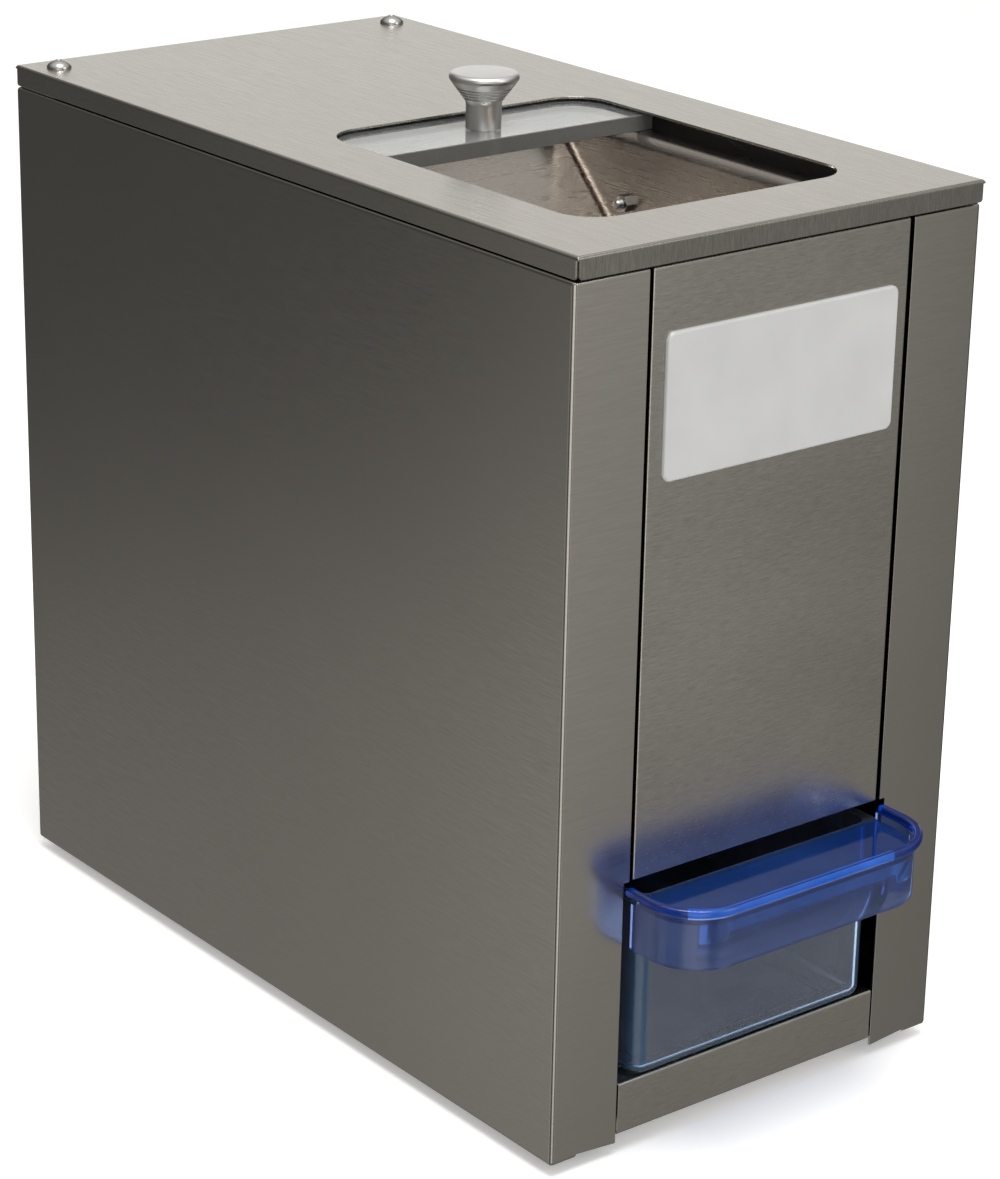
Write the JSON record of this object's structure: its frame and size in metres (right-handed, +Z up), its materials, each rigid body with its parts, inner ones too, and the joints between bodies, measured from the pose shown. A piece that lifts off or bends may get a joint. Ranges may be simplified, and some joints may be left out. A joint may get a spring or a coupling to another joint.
{
  "type": "ice crusher",
  "caption": "Countertop electric ice crusher: tall steel casing with a sliding clear lid over a hopper, a toothed rotor driven through gears, and a pull-out ice drawer.",
  "frame": {"origin": "middle of the overall box, on the surface that the feet stand on", "axes": "+Z up, front with the drawer towards -Y, +X to the machine's right side as seen from the front"},
  "size_m": [0.24, 0.5096, 0.4618],
  "materials": {
    "casing_steel": "ground grain",
    "cover_steel": "ground grain",
    "hopper_steel": "smooth rolled",
    "frame_steel": "zinc plated",
    "fastener_steel": "bright",
    "shaft_steel": "turned",
    "knife_steel": "ground",
    "gear_steel": "hobbed, oiled",
    "bearing_steel": "polished",
    "cast_housing": "as cast",
    "motor_paint": "satin",
    "winding_stack": "varnished",
    "rotor_stack": "turned",
    "capacitor_can": "drawn",
    "knob_aluminium": "anodised satin",
    "clear_acrylic": "polished clear",
    "drawer_plastic": "translucent blue",
    "label_white": "domed clear resin over white",
    "rail_plastic": "black",
    "fan_plastic": "black",
    "electrical_plastic": "black",
    "button_plastic": "black",
    "foot_rubber": "moulded"
  },
  "bodies": {
    "casing": {"left_side_panel": "casing_steel", "right_side_panel": "casing_steel", "rear_panel": "casing_steel", "floor_plate": "frame_steel", "front_panel": "casing_steel", "plinth_panel": "casing_steel", "top_cover": "cover_steel", "cover_screws": "fastener_steel", "cover_brackets": "frame_steel", "rear_panel_screws": "fastener_steel", "front_label": "label_white", "rubber_feet": "foot_rubber", "base_screws": "fastener_steel", "right_guide_rail": "rail_plastic", "left_guide_rail": "rail_plastic", "slide_stops": "foot_rubber", "rail_screws": "fastener_steel", "hopper_right_wall": "hopper_steel", "hopper_left_wall": "hopper_steel", "hopper_front_wall": "hopper_steel", "hopper_slope": "hopper_steel", "hopper_bolts": "fastener_steel", "hopper_nuts": "fastener_steel", "discharge_chute": "hopper_steel", "frame_plate_left": "frame_steel", "frame_plate_right": "frame_steel", "drawer_shelf": "hopper_steel", "stator_comb": "knife_steel", "bearing_housings": "cast_housing", "rotor_bearings": "bearing_steel", "bearing_screws": "fastener_steel", "gearbox_cover": "cast_housing", "gearbox_screws": "fastener_steel", "motor_screws": "fastener_steel", "motor_housing": "motor_paint", "motor_flange": "motor_paint", "motor_end_bell": "motor_paint", "motor_stator": "winding_stack", "terminal_box": "electrical_plastic", "capacitor": "capacitor_can", "cover_switch_body": "electrical_plastic", "rocker_switch_body": "electrical_plastic", "cable_gland": "electrical_plastic"},
    "cover_plate": {"slide_plate": "clear_acrylic", "slide_knob": "knob_aluminium", "knob_screw": "fastener_steel"},
    "drawer": {"ice_drawer": "drawer_plastic"},
    "rotor": {"rotor_shaft": "shaft_steel", "rotor_knives": "knife_steel", "rotor_spacers": "shaft_steel", "rotor_gear": "gear_steel"},
    "idler": {"idler_shaft": "shaft_steel", "idler_pinion": "gear_steel", "idler_gear": "gear_steel"},
    "motor_armature": {"motor_rotor": "rotor_stack", "motor_shaft": "shaft_steel", "motor_pinion": "gear_steel", "motor_fan": "fan_plastic"},
    "safety_button": {"cover_switch_plunger": "button_plastic"},
    "rocker_key": {"rocker": "button_plastic"}
  },
  "joints": [
    {"name": "cover_slide", "type": "slide", "parent": "casing", "child": "cover_plate", "axis": [0, -1, 0], "range_m": [-0.0135, 0.1565]},
    {"name": "drawer_pull", "type": "slide", "parent": "casing", "child": "drawer", "axis": [0, -1, 0], "range_m": [0, 0.18]},
    {"name": "rotor_spin", "type": "hinge", "parent": "casing", "child": "rotor", "pos_m": [0, -0.09725, 0.268], "axis": [1, 0, 0], "continuous": true},
    {"name": "idler_spin", "type": "hinge", "parent": "casing", "child": "idler", "pos_m": [0, -0.01725, 0.268], "axis": [1, 0, 0], "continuous": true},
    {"name": "motor_spin", "type": "hinge", "parent": "casing", "child": "motor_armature", "pos_m": [0, 0.04074, 0.24338], "axis": [1, 0, 0], "continuous": true},
    {"name": "safety_button_press", "type": "slide", "parent": "casing", "child": "safety_button", "axis": [0, -1, 0], "range_m": [0, 0.0022], "stiffness_N_per_m": 400},
    {"name": "rocker_tilt", "type": "hinge", "parent": "casing", "child": "rocker_key", "pos_m": [0.07, 0.23575, 0.066], "axis": [1, 0, 0], "range_deg": [0, 16]}
  ],
  "couplings": [
    {"joint": "idler_spin", "follows": "rotor_spin", "ratio": -4},
    {"joint": "motor_spin", "follows": "rotor_spin", "ratio": 20}
  ]
}
